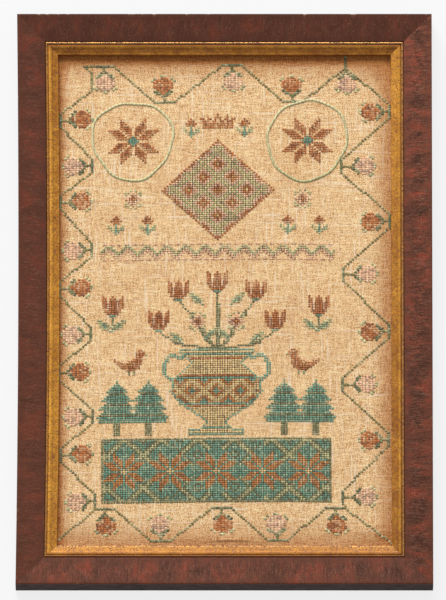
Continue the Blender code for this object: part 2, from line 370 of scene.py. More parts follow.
def tammy_material(colours, sizes):
    """Tammy, a plain woven wool, once glazed and paler, with thick places in its threads.

    Two threads go to a cross. A warp and a weft thread take turns on top, and the corners
    between them are small dark holes. That weave is as fine as the picture's dots, so tone that
    changes from thread to thread is laid over it, a little coarser, to keep it in sight. Slubs
    are pale streaks along the threads. Towards its right and lower edges the cloth is browned by
    stains; along the top and left slips it is darkened by painted shadow, and its top right
    corner has both. An attribute is 1 under the stitching, where the yarn has pulled the holes
    open: the cloth is darkened there, partly for those holes and partly as painted shade
    between the crosses.
    """
    pitches = (sizes.cross_wide / 2, sizes.cross_high / 2)

    def build(add, place):
        across, up = add("SeparateXYZ", [place]).node.outputs[:2]
        waves = []
        for value, pitch in zip((across, up), pitches):
            turned = add("Math", [value, math.pi / pitch], operation="MULTIPLY")
            waves.append(add("Math", [turned], operation="SINE"))
        turns = add("Math", waves, operation="MULTIPLY")
        heights = []
        for wave, sign in zip(waves, (0.35, -0.35)):
            thread = add("Math", [wave], operation="ABSOLUTE")
            top = add("Math", [turns, sign, 0.65], operation="MULTIPLY_ADD")
            heights.append(add("Math", [thread, top], operation="MULTIPLY"))
        weave = add("Math", heights, operation="MAXIMUM")
        # Weft threads, warp threads and the dots where they cross: their sizes in mm, detail,
        # where in the grain they are dark and pale, and their share in the tone
        tone = 0.07
        for threads, detail, dark, pale, share in (
            ((6, 0.7, 9), 1.0, 0.38, 0.62, 0.2),
            ((0.7, 6, 9), 1.0, 0.36, 0.66, 0.2),
            ((0.66, 0.6, 1.5), 0.0, 0.42, 0.58, 0.46),
        ):
            uneven = grain(add, place, threads, detail, 0.6)
            uneven = add("ValToRGB", [uneven], stops=((dark, 0), (pale, 1)))
            tone = add("Math", [uneven, share, tone], operation="MULTIPLY_ADD")
        stops = ((0.12, colours.cloth_thin), (0.5, colours.cloth), (0.88, colours.cloth_pale))
        body = add("ValToRGB", [tone], stops=stops)
        slubs = [grain(add, place, threads, 0.0) for threads in ((26, 1.1, 30), (1.1, 30, 30))]
        slubs = add("Math", slubs, operation="MAXIMUM")
        right_top = add("Math", [across, up], operation="ADD")
        right_low = add("Math", [across, up], operation="SUBTRACT")
        # The darkened margins, browned by stains to the right and below and by painted shadow along
        # the top and left slips: where each starts and is deepest, in mm, and what stays clear there
        clear_of_stain_and_shade = 1.0
        for value, start, end, least, easing in (
            (across, 114, 134, 0.28, "SMOOTHSTEP"),
            (up, -175, -204, 0.34, "SMOOTHSTEP"),
            # Painted shadow under the top slip
            (up, 193.5, 198.5, 0.0, "LINEAR"),
            # Painted shade fading down from the top slip
            (up, 178, 195, 0.45, "LINEAR"),
            # Painted shadow beside the left slip
            (across, -123, -132, 0.0, "LINEAR"),
            # The top right corner, stained and in painted shade
            (right_top, 290, 335, 0.1, "LINEAR"),
            (right_low, 300, 335, 0.4, "LINEAR"),
        ):
            inputs = [value, start * MM, end * MM, 1.0, least]
            margin = add("MapRange", inputs, interpolation_type=easing)
            clear_of_stain_and_shade = add("Math", [clear_of_stain_and_shade, margin], operation="MULTIPLY")
        edge = add("Math", [1.0, clear_of_stain_and_shade], operation="SUBTRACT")
        slubs, clouds, holes = (
            add("ValToRGB", [value], stops=((low, first), (high, last)))
            for value, low, first, high, last in (
                (slubs, 0.67, 0, 0.81, 0.5),
                (grain(add, place, (36,) * 3, 3.0), 0.45, 0, 0.75, 0.16),
                (weave, 0.1, linear("#7a5a3c"), 0.4, 1),
            )
        )
        # Stains and painted shadow together
        stain_and_painted_shade = add("Math", [edge, clouds], operation="MAXIMUM")
        # Under fills the cloth is darkened, partly for the pulled holes and partly as painted shade
        # between the crosses
        worked = add("Attribute", output="Fac", attribute_name="worked")
        coats = (
            (slubs, colours.slub, "MIX"),
            (stain_and_painted_shade, colours.cloth_brown, "MULTIPLY"),
            (1.0, holes, "MULTIPLY"),
            (worked, linear("#6a4e36"), "MULTIPLY"),
        )
        fuzz = grain(add, place, (0.45,) * 3, 2.0, 0.6)
        height = add("Math", [fuzz, 0.35, weave], operation="MULTIPLY_ADD")
        return body, coats, (height, 0.7, 0.3), {}

    return new_material("tan_wool_tammy", {"Roughness": 0.9, "Sheen Weight": 0.1}, build)


def yarn_material(dye, colours):
    """Wool yarn, two strands twisted: soft, matt, uneven in its dye and faded by light.

    The attribute fade runs from 0, deep, to 1, faded. The strands are fine slanting lines,
    0.45 mm apart: a wave texture has 20 of its scale in a metre.
    """
    tint = tuple(getattr(colours, dye))
    deep = [0.5 * c + 0.08 * sum(tint) / 3 for c in tint]
    pale = [c + 0.35 * (w - c) for c, w in zip(tint, colours.cloth_pale)]

    def build(add, place):
        fade = add("Attribute", output="Fac", attribute_name="fade")
        body = add("ValToRGB", [fade], stops=((0.0, deep), (0.5, tint), (1.0, pale)))
        twist = {"Vector": place, "Scale": 1 / (20 * 0.45 * MM), "Distortion": 2.0, "Detail": 1.0}
        fuzz = grain(add, place, (0.25, 0.25, 0.3), 2.0, 0.6)
        depth = add("Math", [add("TexWave", twist), 0.3, fuzz], operation="MULTIPLY_ADD")
        shade = add("ValToRGB", [depth], stops=((0.3, linear("#b0a89f")), (0.75, 1)))
        return body, [(1.0, shade, "MULTIPLY")], (depth, 0.6, 0.12), {}

    return new_material(f"wool_yarn_{dye}", {"Roughness": 0.88, "Sheen Weight": 0.15}, build)


def enclosed_volume(points, faces):
    """Six times the volume inside a closed mesh: the sum of a . (b x c) over its triangles."""
    total = 0.0
    for group in faces:
        corner = points[group]
        for k in range(1, group.shape[1] - 1):
            normal = np.cross(corner[:, k], corner[:, k + 1])
            total += float((corner[:, 0] * normal).sum())
    return total


def put_piece(name, points, faces, materials, paint=None, values=None, sharp=None):
    """Puts a closed surface into the scene as one object, its faces turned outwards.

    faces is a list of (count, corners) arrays, paint a material number for each face in turn,
    values a number for each point under each attribute's name, sharp an angle in degrees.
    """
    points = points.reshape(-1, 3)
    if enclosed_volume(points, faces) < 0:
        faces = [group[:, ::-1] for group in faces]
    mesh = bpy.data.meshes.new(name)
    mesh.from_pydata(points, [], [corners for group in faces for corners in group.tolist()])
    for material in materials:
        mesh.materials.append(material)
    if paint is not None:
        mesh.polygons.foreach_set("material_index", np.asarray(paint, np.int32))
    for key, numbers in (values or {}).items():
        numbers = np.asarray(numbers, np.float32).ravel()
        mesh.attributes.new(key, "FLOAT", "POINT").data.foreach_set("value", numbers)
    mesh.shade_smooth()
    if sharp is not None:
        mesh.set_sharp_from_angle(angle=math.radians(sharp))
    if mesh.validate():
        raise RuntimeError(f"{name} has faulty faces")
    thing = bpy.data.objects.new(name, mesh)
    bpy.context.scene.collection.objects.link(thing)
    return thing


def arc(centre, radius, start, turn, steps):
    """Points on an arc: centre + radius (cos a, sin a), a going from start through turn degrees."""
    angles = np.radians(start + turn * np.arange(steps + 1) / steps)
    return np.column_stack([centre[0] + radius * np.cos(angles), centre[1] + radius * np.sin(angles)])


def refined(outline, step):
    """The closed outline with more points along its sides, so that no side is longer than step."""
    loop = np.vstack([outline, outline[:1]])
    run = np.concatenate([[0.0], np.cumsum(np.hypot(*np.diff(loop, axis=0).T))])
    pieces = [max(1, math.ceil(gap / step)) for gap in np.diff(run)]
    spans = zip(run, run[1:], pieces)
    at = np.concatenate([np.linspace(a, b, count, endpoint=False) for a, b, count in spans])
    return np.column_stack([np.interp(at, run, loop[:, axis]) for axis in (0, 1)])


def ripple(u, v, wavelength, seed):
    """A smooth uneven field from -1 to 1: the mean of seven sine waves in random directions."""
    draw = np.random.default_rng(seed)
    total = 0.0
    for _ in range(7):
        angle, phase = draw.uniform(0, 2 * math.pi, 2)
        pitch = wavelength * draw.uniform(0.6, 1.6)
        total = total + np.sin((u * math.cos(angle) + v * math.sin(angle)) * 2 * math.pi / pitch + phase)
    return total / 7


def bar_grid(side, outline, inset, step):
    """The outline carried along one side of the frame, from mitre to mitre.

    Point (i, j) lies along = t_i (half run - depth_j - gap) and out = half span - depth_j -
    bow (1 - t_i^2) from the frame's middle, t_i from -1 to 1. Returns the points, along, and
    the outline's depths spread over them.
    """
    out_x, out_y = SIDES[side]
    half_span, half_run = (HALF_WIDTH, HALF_HEIGHT)[:: 1 if out_x else -1]
    bow = LEFT_BOW if side == "left" else 0.0
    t = np.linspace(-1, 1, int(2 * half_run / step))[:, None]
    depth = inset + outline[:, 0]
    along = t * (half_run - depth - MITRE_BACK)
    out = half_span - depth - bow * (1 - t * t)
    across, height = (np.broadcast_to(values, along.shape) for values in outline.T)
    points = np.stack([along * out_y + out * out_x, out * out_y - along * out_x, height], axis=-1)
    return points, along, across


def way_along(points, side):
    """How far along its side each point lies, from -1 at the lower or left end to 1 at the other."""
    return points[..., 1] / HALF_HEIGHT if SIDES[side][0] else points[..., 0] / HALF_WIDTH


def tube_faces(rows, columns):
    """Quads round a tube of rows x columns points that closes on itself, and its two end faces."""
    i, j = np.meshgrid(np.arange(rows - 1), np.arange(columns), indexing="ij")
    k = (j + 1) % columns
    quads = np.stack([i * columns + j, i * columns + k, (i + 1) * columns + k, (i + 1) * columns + j], -1)
    first = np.arange(columns)[None, ::-1]
    last = (rows - 1) * columns + np.arange(columns)[None]
    return [quads.reshape(-1, 4), first, last]


def rail_outline(sizes):
    """The rail's section as (distance in from the outer edge, height), going round once."""
    sight_height = FRAME_DEPTH - sizes.face_fall
    wall = RAIL_FACE - sizes.rebate
    lip_under = sight_height - sizes.lip_depth
    outer = arc((sizes.outer_round, FRAME_DEPTH - sizes.outer_round), sizes.outer_round, 180, -90, 7)
    sight_centre = (RAIL_FACE - sizes.sight_round, sight_height - sizes.sight_round)
    sight = arc(sight_centre, sizes.sight_round, 90, -90, 6)
    return np.vstack([[(0, 0)], outer, sight, [(RAIL_FACE, lip_under), (wall, lip_under), (wall, 0)]])


def slip_outline(sizes):
    """The slip's section as (distance in from the sight edge, height), going round once."""
    radius = sizes.bead_width / 2
    foot = FRAME_DEPTH - sizes.face_fall - radius
    bead = arc((SEAT_GAP + radius, foot), radius, 180, -180, 10)
    quirk_start = SEAT_GAP + sizes.bead_width
    torus_start = quirk_start + sizes.quirk_width
    torus_end = torus_start + sizes.torus_width
    quirk = [(quirk_start, foot - sizes.quirk_depth), (torus_start, foot - sizes.quirk_depth)]
    t = np.linspace(0, 1, 13)
    lift = sizes.torus_crown * np.sin(math.pi * t**0.8) - sizes.torus_fall * t
    torus = np.column_stack([torus_start + sizes.torus_width * t, foot + lift])
    flat_start = foot - sizes.torus_fall - sizes.flat_step
    edge_top = flat_start - sizes.flat_fall
    edge_centre = (SLIP_SHOWS - sizes.edge_round, edge_top - sizes.edge_round)
    edge = arc(edge_centre, sizes.edge_round, 90, -90, 5)
    shoulder = FRAME_DEPTH - sizes.face_fall - sizes.lip_depth - SEAT_GAP
    under = [(SLIP_SHOWS, SLIP_UNDER), (-SLIP_HIDDEN, SLIP_UNDER)]
    tail = [*under, (-SLIP_HIDDEN, shoulder), (SEAT_GAP, shoulder)]
    return np.vstack([bead, quirk, torus, [(torus_end, flat_start)], edge, tail])


def knock_arris(along, outline, chips, depth, seed):
    """Knocks in the rail's outer arris: how worn each point is, from 0 to 1, and how far it goes in.

    Each knock is a bell, exp(-(distance / size)^2) along the rail times the same from the arris.
    """
    draw = np.random.default_rng(seed)
    reach = np.abs(along).max()
    places = draw.uniform(-reach, reach, chips)
    sizes = draw.uniform(0.4, 1.2, chips) * MM
    from_arris = np.hypot(outline[:, 0], outline[:, 1] - FRAME_DEPTH)
    bells = np.exp(-(((along[..., None] - places) / sizes) ** 2))
    bells = bells * np.exp(-((from_arris[:, None] / (sizes * 1.1)) ** 2))
    deepest = bells.max(axis=-1)
    return np.clip((deepest - 0.35) * 1.6, 0, 1), deepest * depth


class PieceOperator:
    """What the sampler's operators share: they can be undone, and they fail loudly."""

    bl_options = {"REGISTER", "UNDO"}

    def finish_piece(self, piece, slot, *nodes):
        """Ties a piece to the model's one body and hides what it stands for."""
        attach(piece, "root")
        if nodes:
            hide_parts(*nodes)
        return {"FINISHED"}


# How far apart the points lie along the rails and slips
RAIL_STEP = 1.3 * MM
SLIP_STEP = 1.6 * MM

# How far the rails' faces sink in places, and how far apart such places are
HOLLOW_DEPTH = 0.09 * MM
HOLLOW_APART = 46 * MM

# How far a knock goes down and how far in, as shares of its depth
KNOCK_DOWN, KNOCK_IN = 0.8, 0.6

# Seeds of the first side's knocks, hollows and slip, each side's being one more than the last
KNOCK_SEED, RAIL_SEED, SLIP_SEED = 20, 40, 60

# Each rail's knocks, its painted light and shade as a tone at the lower or left end, in the
# middle and at the other end, and the strength of its figure. The top rail is drawn darker, and
# the right and bottom ones lighter, as the light falls on them
RAIL_LOOKS = {
    "top": (20, (0.7, 0.72, 0.74), 0.6),
    "right": (6, (1.15, 1.22, 1.5), 1.5),
    "bottom": (9, (1.15, 1.13, 1.08), 1.1),
    "left": (6, (0.95, 0.88, 0.82), 0.7),
}


class SAMPLER_OT_rails(PieceOperator, bpy.types.Operator):
    """Builds the four veneered rails, with knocked arrises and bare backs"""

    bl_idname = "sampler.rails"
    bl_label = "Rails"

    def execute(self, context):
        sizes = context.scene.sampler_frame
        colours = context.scene.sampler_colours
        veneers = [veneer_material(f"crossbanded_veneer_{'xy'[k]}", k, colours) for k in (0, 1)]
        carcass = wood_material("bare_deal_carcass", colours.carcass, *BARE_DEAL)
        stain_and_painted_shade = wood_material("dull_stained_side", colours.stain, *SIDE_STAIN_AND_PAINTED_SHADE)
        outline = refined(rail_outline(sizes), 2.2 * MM)
        # Painted shade across the face: the tone is drawn darker towards both edges and lighter in the
        # middle, as on a rounded face. The figure also weakens towards the edges
        shown = 0.35 + 0.65 * np.sin(math.pi * np.clip(outline[:, 0] / RAIL_FACE, 0, 1))
        on_face = outline[:, 1] > FRAME_DEPTH / 2
        near = 0.01 * MM
        depth, height = ((outline + np.roll(outline, -1, axis=0)) / 2).T
        backs = (height < near) | (depth > RAIL_FACE - sizes.rebate - near)
        backs &= height < FRAME_DEPTH - sizes.face_fall - sizes.lip_depth + near
        sides = (depth < near) & (height > near)
        for number, (side, (chips, painted_light_tones, figure)) in enumerate(RAIL_LOOKS.items()):
            points, along, across = bar_grid(side, outline, 0.0, RAIL_STEP)
            # Painted light and shade along the rail: the tone is drawn lighter or darker from one end to
            # the other
            tone = np.interp(way_along(points, side), (-1, 0, 1), painted_light_tones)
            worn, dent = knock_arris(along, outline, chips, sizes.chip_depth, KNOCK_SEED + number)
            waves = HOLLOW_DEPTH * ripple(along, across, HOLLOW_APART, RAIL_SEED + number) * on_face
            points[..., 2] += np.minimum(waves, 0.0) - KNOCK_DOWN * dent
            points[..., :2] -= dent[..., None] * KNOCK_IN * np.array(SIDES[side])
            paint = np.concatenate([np.tile(backs + 2 * sides, len(points) - 1), [1, 1]])
            values = {
                "wear": worn,
                "tone": tone * (0.75 + 0.4 * shown),
                "figure": np.tile(figure * shown, len(points)),
            }
            finishes = [veneers[abs(SIDES[side][0])], carcass, stain_and_painted_shade]
            faces = tube_faces(*along.shape)
            rail = put_piece(f"veneered_rail_{side}", points, faces, finishes, paint, values, sharp=38)
            self.finish_piece(rail, "veneered_hardwood", f"rail_{side}")
        return {"FINISHED"}


# How far the leaf is rubbed on each slip's bead, and how much painted sheen lies towards its
# edge; the painted shade on the bead, at the round moulding's start, crest and end, on the flat,
# and at the edge; and the painted light that brightens the leaf at the lower or left end, in the
# middle and at the other end
SLIP_LOOKS = {
    "top": (0.8, 0.0, (0.0, 1.1, 0.45, 0.2, 0.6, 0.1), (0.0, 0.0, 0.0)),
    "right": (0.7, 0.0, (0.5, 0.6, 0.3, 0.25, 0.25, 0.4), (0.0, 0.2, 0.9)),
    "bottom": (0.4, 0.9, (1.2, 0.2, 1.1, 0.15, 0.0, 0.0), (0.2, 0.0, -0.1)),
    "left": (0.35, 0.0, (0.6, 0.0, 0.0, 0.0, 0.1, 0.1), (0.5, 0.35, 0.0)),
}


class SAMPLER_OT_slips(PieceOperator, bpy.types.Operator):
    """Builds the four gilt slips, a little uneven, with their crests marked for the rubbed leaf"""

    bl_idname = "sampler.slips"
    bl_label = "Slips"

    def execute(self, context):
        sizes = context.scene.sampler_frame
        colours = context.scene.sampler_colours
        gildings = [gilding_material(f"rubbed_water_gilding_{'xy'[k]}", k, colours) for k in (0, 1)]
        outline = refined(slip_outline(sizes), 0.9 * MM)
        depth, height = outline.T
        bead_crest = SEAT_GAP + sizes.bead_width / 2
        start = SEAT_GAP + sizes.bead_width + sizes.quirk_width
        hollow, crest, end = (start + share * sizes.torus_width for share in (0.1, 0.4, 1))
        edge_crest = SLIP_SHOWS - sizes.edge_round
        stops = (bead_crest, hollow, crest, end, (end + edge_crest) / 2, edge_crest)
        inner_stops = (crest, end, edge_crest - 0.7 * MM, edge_crest)
        inner = np.interp(depth, inner_stops, (0.0, 0.2, 0.2, 1.0))
        bead, torus, edge = (
            np.exp(-(((depth - middle) / (wide * MM)) ** 2))
            for middle, wide in ((bead_crest, 0.7), (crest, 1.1), (edge_crest, 0.25))
        )
        crests = np.max([bead, torus, 0.3 * edge], axis=0) * (height > SLIP_UNDER + 1 * MM)
        shown = (height > SLIP_UNDER + 2 * MM) & (depth > SEAT_GAP)
        for number, (side, looks) in enumerate(SLIP_LOOKS.items()):
            bead_worn, painted_sheen_to_edge, darkness, painted_light_along = looks
            points, along, across = bar_grid(side, outline, RAIL_FACE, SLIP_STEP)
            points[..., 2] += 0.07 * MM * ripple(along, across, 11 * MM, SLIP_SEED + number) * shown
            values = {
                # Painted light: the leaf is drawn brighter towards one end of some slips
                "crest": crests + np.interp(way_along(points, side), (-1, 0, 1), painted_light_along),
                # Painted sheen: the thin, paler leaf towards the bottom slip's inner edge stands in for
                # light on it
                "rub": np.tile(bead * bead_worn + inner * painted_sheen_to_edge, len(points)),
                # Painted shade across the slip's section
                "grime": np.tile(np.interp(depth, stops, darkness), len(points)),
            }
            finish = [gildings[abs(SIDES[side][0])]]
            faces = tube_faces(*along.shape)
            slip = put_piece(f"gilded_slip_{side}", points, faces, finish, values=values, sharp=40)
            self.finish_piece(slip, "gilt_slip", f"slip_{side}")
        return {"FINISHED"}


# Rolls in the cloth: the middle and reach of each, across and then up, in mm, and how full it is
ROLLS = ((2, 78, -196, 8, 0.62), (122, 26, -190, 12, 0.62), (121, 14, 35, 150, 0.25))

# How far the fullest roll stands off the board
PUCKER_MOST = 1.1 * MM

# How far from the slips the cloth is pressed down
PRESSED = 6 * MM

# Points across and up the cloth and the board
CLOTH_GRID = (141, 240)
BOARD_GRID = (90, 110)


def soft_bump(distance, reach):
    """1 at distance 0, easing to 0 at reach: (1 - (distance / reach)^2)^2."""
    return np.maximum(0.0, 1 - (distance / reach) ** 2) ** 2


def cloth_lift(x, y):
    """How far the cloth stands off the board: a swell, rolls and a crease low down, and cockles.

    All of it dies away over 6 mm where the slips press the cloth down.
    """
    share = 0.22 + 0.2 * np.cos(x / (62 * MM)) * np.cos(y / (88 * MM))
    for column, wide, row, high, full in ROLLS:
        share = share + full * soft_bump(x - column * MM, wide * MM) * soft_bump(y - row * MM, high * MM)
    free_half_x = HALF_WIDTH - RAIL_FACE - SLIP_SHOWS - LEFT_BOW
    free_half_y = HALF_HEIGHT - RAIL_FACE - SLIP_SHOWS
    free = np.clip((free_half_x - np.abs(x)) / PRESSED, 0, 1)
    free = free * np.clip((free_half_y - np.abs(y)) / PRESSED, 0, 1)
    cockles = 0.16 * MM * ripple(x, y * 1.6, 34 * MM, 5) + 0.05 * MM * ripple(x, y, 9 * MM, 6)
    crease_at = -200.2 * MM + 2.5 * MM * soft_bump(x - 5 * MM, 40 * MM)
    crease = 0.65 * MM * soft_bump(y - crease_at, 1.7 * MM) * soft_bump(x - 5 * MM, 36 * MM)
    return free * (PUCKER_MOST * np.clip(share, 0, 1) + cockles + crease)


def sheet_surface(xs, ys, top, under):
    """A closed sheet over the grid xs x ys: its upper points, its under points, and its rim.

    Returns the points and the faces. top and under hold the heights, one row for each y.
    """
    rows, columns = len(ys), len(xs)
    x, y = np.meshgrid(xs, ys)
    points = np.vstack([np.stack([x, y, z], axis=-1).reshape(-1, 3) for z in (top, under)])
    number = np.arange(rows * columns).reshape(rows, columns)
    lower, upper = number[:-1], number[1:]
    quads = np.stack([lower[:, :-1], lower[:, 1:], upper[:, 1:], upper[:, :-1]], -1).reshape(-1, 4)
    ring = np.concatenate([number[0, :-1], number[:-1, -1], number[-1, :0:-1], number[:0:-1, 0]])
    after = np.roll(ring, -1)
    offset = rows * columns
    rim = np.stack([after, ring, ring + offset, after + offset], -1)
    return points, [quads, quads[:, ::-1] + offset, rim]


class SAMPLER_OT_cloth(PieceOperator, bpy.types.Operator):
    """Builds the cloth, one sheet that the slips press down at its margins"""

    bl_idname = "sampler.cloth"
    bl_label = "Cloth"

    def execute(self, context):
        sizes = context.scene.sampler_stitches
        tammy = tammy_material(context.scene.sampler_colours, sizes)
        xs = np.linspace(CLOTH_LOW.x, CLOTH_HIGH.x, CLOTH_GRID[0])
        ys = np.linspace(CLOTH_LOW.y, CLOTH_HIGH.y, CLOTH_GRID[1])
        ys = np.unique(np.concatenate([ys, np.arange(-203 * MM, -194 * MM, 0.6 * MM)]))
        x, y = np.meshgrid(xs, ys)
        lift = cloth_lift(x, y)
        points, faces = sheet_surface(xs, ys, CLOTH_TOP + lift, CLOTH_LOW.z + lift)
        # Where fills are worked the cloth is darkened: partly pulled holes, partly painted shade between
        # the crosses
        stitched = np.any([canvas_of(motif) > 0 for motif in MOTIFS], axis=0)
        solid = stitched & np.logical_and.reduce(neighbours(stitched))
        column = np.clip(np.rint(x / sizes.cross_wide).astype(int), -MOST_COLUMN, MOST_COLUMN)
        row = np.clip(np.rint(y / sizes.cross_high).astype(int), -MOST_ROW, MOST_ROW)
        worked = solid[row + MOST_ROW, column + MOST_COLUMN]
        values = {"worked": [worked, np.zeros(worked.shape)]}
        cloth = put_piece("tammy_cloth", points, faces, [tammy], values=values, sharp=50)
        return self.finish_piece(cloth, "tammy_cloth", "sampler_cloth")


class SAMPLER_OT_board(PieceOperator, bpy.types.Operator):
    """Builds the planed board behind the cloth"""

    bl_idname = "sampler.board"
    bl_label = "Board"

    def execute(self, context):
        tint = context.scene.sampler_colours.board
        planed = wood_material("planed_deal_board", tint, *PLANED_DEAL)
        xs = np.linspace(BOARD_LOW.x, BOARD_HIGH.x, BOARD_GRID[0])
        ys = np.linspace(BOARD_LOW.y, BOARD_HIGH.y, BOARD_GRID[1])
        x, y = np.meshgrid(xs, ys)
        plane_marks = 0.12 * MM * (1 + np.sin(x / (7.5 * MM) + 0.6 * ripple(x, y, 150 * MM, 3)))
        from_edge = np.minimum.reduce([x - xs[0], xs[-1] - x, y - ys[0], ys[-1] - y])
        arris = 0.8 * MM * np.clip(1 - from_edge / (2 * MM), 0, 1)
        top = np.full(x.shape, BOARD_HIGH.z)
        points, faces = sheet_surface(xs, ys, top, BOARD_LOW.z + plane_marks + arris)
        board = put_piece("planed_board", points, faces, [planed], sharp=40)
        return self.finish_piece(board, "softwood_board", "backing_board")


# A canvas is a grid of yarn numbers, one for each cross that the cloth has room for. Column 0 and
# row 0 cross at the middle of the cloth.
MOST_COLUMN = 70
MOST_ROW = 114
COLUMN, ROW = np.meshgrid(np.arange(-MOST_COLUMN, MOST_COLUMN + 1), np.arange(-MOST_ROW, MOST_ROW + 1))

# The letters that stand for yarns in a chart
LETTERS = {"r": RUST, "p": PINK, "s": SAGE, "t": TEAL, "f": FOREST, "y": STRAW, "a": AMBER}
BERRY_LETTERS = {"g": FOREST, "t": OLIVE, "s": SAGE}


def canvas_of(work):
    """A canvas with one piece of work on it."""
    canvas = np.zeros(COLUMN.shape, int)
    work(canvas)
    return canvas


def paint_line(canvas, path, dye):
    """Works a line of single crosses through the path's points."""
    for (c0, r0), (c1, r1) in zip(path, path[1:]):
        steps = int(max(abs(c1 - c0), abs(r1 - r0))) + 1
        columns, rows = (np.rint(np.linspace(*ends, steps)).astype(int) for ends in ((c0, c1), (r0, r1)))
        canvas[rows + MOST_ROW, columns + MOST_COLUMN] = dye


def paint_chart(canvas, chart, column, row, turn=0, mirror=False, dyes=LETTERS):
    """Works a charted motif with the middle of its lowest line at (column, row).

    turn counts quarter turns to the left about that place. dyes maps the chart's letters.
    """
    letters = np.array([list(line) for line in chart.split()[::-1]])
    if mirror:
        letters = letters[:, ::-1]
    up, across = np.nonzero(letters != ".")
    numbers = np.array([dyes[letter] for letter in letters[up, across]])
    across = across - letters.shape[1] // 2
    for _ in range(turn):
        across, up = -up, across
    canvas[up + row + MOST_ROW, across + column + MOST_COLUMN] = numbers


def canvas_to_cloth(columns, rows, sizes):
    """Where a place on the canvas lies on the cloth: column and row times the size of a cross,
    with the slow drift of cloth that was never quite square.
    """
    x = columns * sizes.cross_wide
    y = rows * sizes.cross_high
    return x + 0.7 * MM * np.sin(y / (70 * MM)), y + 0.8 * MM * np.sin(x / (55 * MM) + 1)


# A leg of yarn has a point at either end, and two rings of points part of the way to them
ROUND = 6
RING_AT = 0.6
LEG_POINTS = 2 + 2 * ROUND


def yarn_surface(starts, ends, rise, widths, thicks, lift):
    """Legs of yarn, each a flat spindle from hole to hole.

    With t from -1 to 1 along a leg and a the angle round it,
    place = middle + t half length + across width cos a + up (rise (1 - t^2) + thick sin a).
    Returns the points, and the faces as triangles and quads, in the order of the legs.
    """
    middle = (starts + ends) / 2
    half = (ends - starts) / 2
    side = np.column_stack([-half[:, 1], half[:, 0]]) / np.hypot(half[:, 0], half[:, 1])[:, None]
    angles = np.arange(ROUND) * 2 * math.pi / ROUND
    t = np.concatenate([[-1.0], np.full(ROUND, -RING_AT), np.full(ROUND, RING_AT), [1.0]])
    across = np.concatenate([[0.0], np.cos(angles), np.cos(angles), [0.0]])
    up = np.concatenate([[0.0], np.sin(angles), np.sin(angles), [0.0]])
    flat = middle[:, None] + half[:, None] * t[:, None]
    flat = flat + side[:, None] * (widths[:, None] / 2 * across)[..., None]
    height = rise[:, None] * (1 - t * t) + thicks[:, None] / 2 * up
    height = height + cloth_lift(flat[..., 0], flat[..., 1]) + CLOTH_TOP + lift
    points = np.concatenate([flat, height[..., None]], axis=-1)
    ring = np.arange(ROUND)
    after = (ring + 1) % ROUND
    second = ROUND + 1
    first = np.stack([0 * ring, 1 + after, 1 + ring], -1)
    last = np.stack([0 * ring + LEG_POINTS - 1, second + ring, second + after], -1)
    body = np.stack([1 + ring, 1 + after, second + after, second + ring], -1)
    offset = (np.arange(len(starts)) * LEG_POINTS)[:, None, None]
    triangles = (np.vstack([first, last])[None] + offset).reshape(-1, 3)
    quads = (body[None] + offset).reshape(-1, 4)
    return points, [triangles, quads]


def stitch_piece(name, starts, ends, rise, widths, thicks, lift, dyes, fade, materials):
    """Legs of yarn as one piece, each painted with its dye, with its own fade."""
    points, faces = yarn_surface(starts, ends, rise, widths, thicks, lift)
    used = sorted(set(dyes.tolist()))
    slots = np.searchsorted(used, dyes)
    paint = np.concatenate([np.repeat(slots, 2 * ROUND), np.repeat(slots, ROUND)])
    yarns = [materials[k] for k in used]
    return put_piece(name, points, faces, yarns, paint, {"fade": np.repeat(fade, LEG_POINTS)})


# How far a leg of a cross reaches up or down, in crosses, for each cross that it reaches across
LEG_STEEP = 0.84


def crosses_piece(work, context, materials, seed, reach, stout, unevenness):
    """Sews every marked place of a work's canvas as a cross: a leg one way, then a leg over it.

    reach is how far each leg goes to either side of the middle, as a share of the cross. stout
    multiplies the yarn's width, and unevenness how much each leg strays.
    """
    sizes = context.scene.sampler_stitches
    draw = np.random.default_rng(sizes.seed * 100 + seed)
    canvas = canvas_of(work)
    places = np.nonzero(canvas)
    dyes = canvas[places]
    columns, rows = COLUMN[places].astype(float), ROW[places].astype(float)
    count = len(dyes)
    # The dye differs from row to row, as lengths of yarn do, and in wide patches
    by_row = 0.16 * np.sin(rows * 0.9 + 2.2 * np.sin(rows * 0.37))
    patches = 0.12 * ripple(columns, rows, 19.0, seed)
    fade = np.clip(0.5 + by_row + patches + (0.12 + 0.08 * unevenness) * draw.standard_normal(count), 0, 1)
    starts, ends, rise, widths = [], [], [], []
    for slant, height in ((1, 0.45), (-1, 1.0)):
        wobble = draw.normal(0, 0.06, (4, count)) * unevenness
        for made, way, (astray, aslant) in ((starts, -1, wobble[:2]), (ends, 1, wobble[2:])):
            column = columns + way * reach * slant + astray
            row = rows + way * LEG_STEEP * reach + aslant
            made.append(np.column_stack(canvas_to_cloth(column, row, sizes)))
        rise.append(np.full(count, height * sizes.rise) + sizes.yarn_thick * 0.4)
        spread = 0.12 * unevenness
        widths.append(sizes.yarn_wide * stout * draw.uniform(1 - spread, 1 + spread, count))
    widths = np.concatenate(widths)
    return stitch_piece(
        work.__name__,
        np.vstack(starts),
        np.vstack(ends),
        np.concatenate(rise),
        widths,
        widths * sizes.yarn_thick / sizes.yarn_wide / stout,
        -0.08 * MM,
        np.tile(dyes, 2),
        np.clip(np.tile(fade, 2) + draw.normal(0, 0.04, 2 * count), 0, 1),
        materials,
    )


# How far apart a ring's stem stitches are, and how wide their yarn is
RING_STITCH = 1.5 * MM
RING_YARN = 1.9 * MM


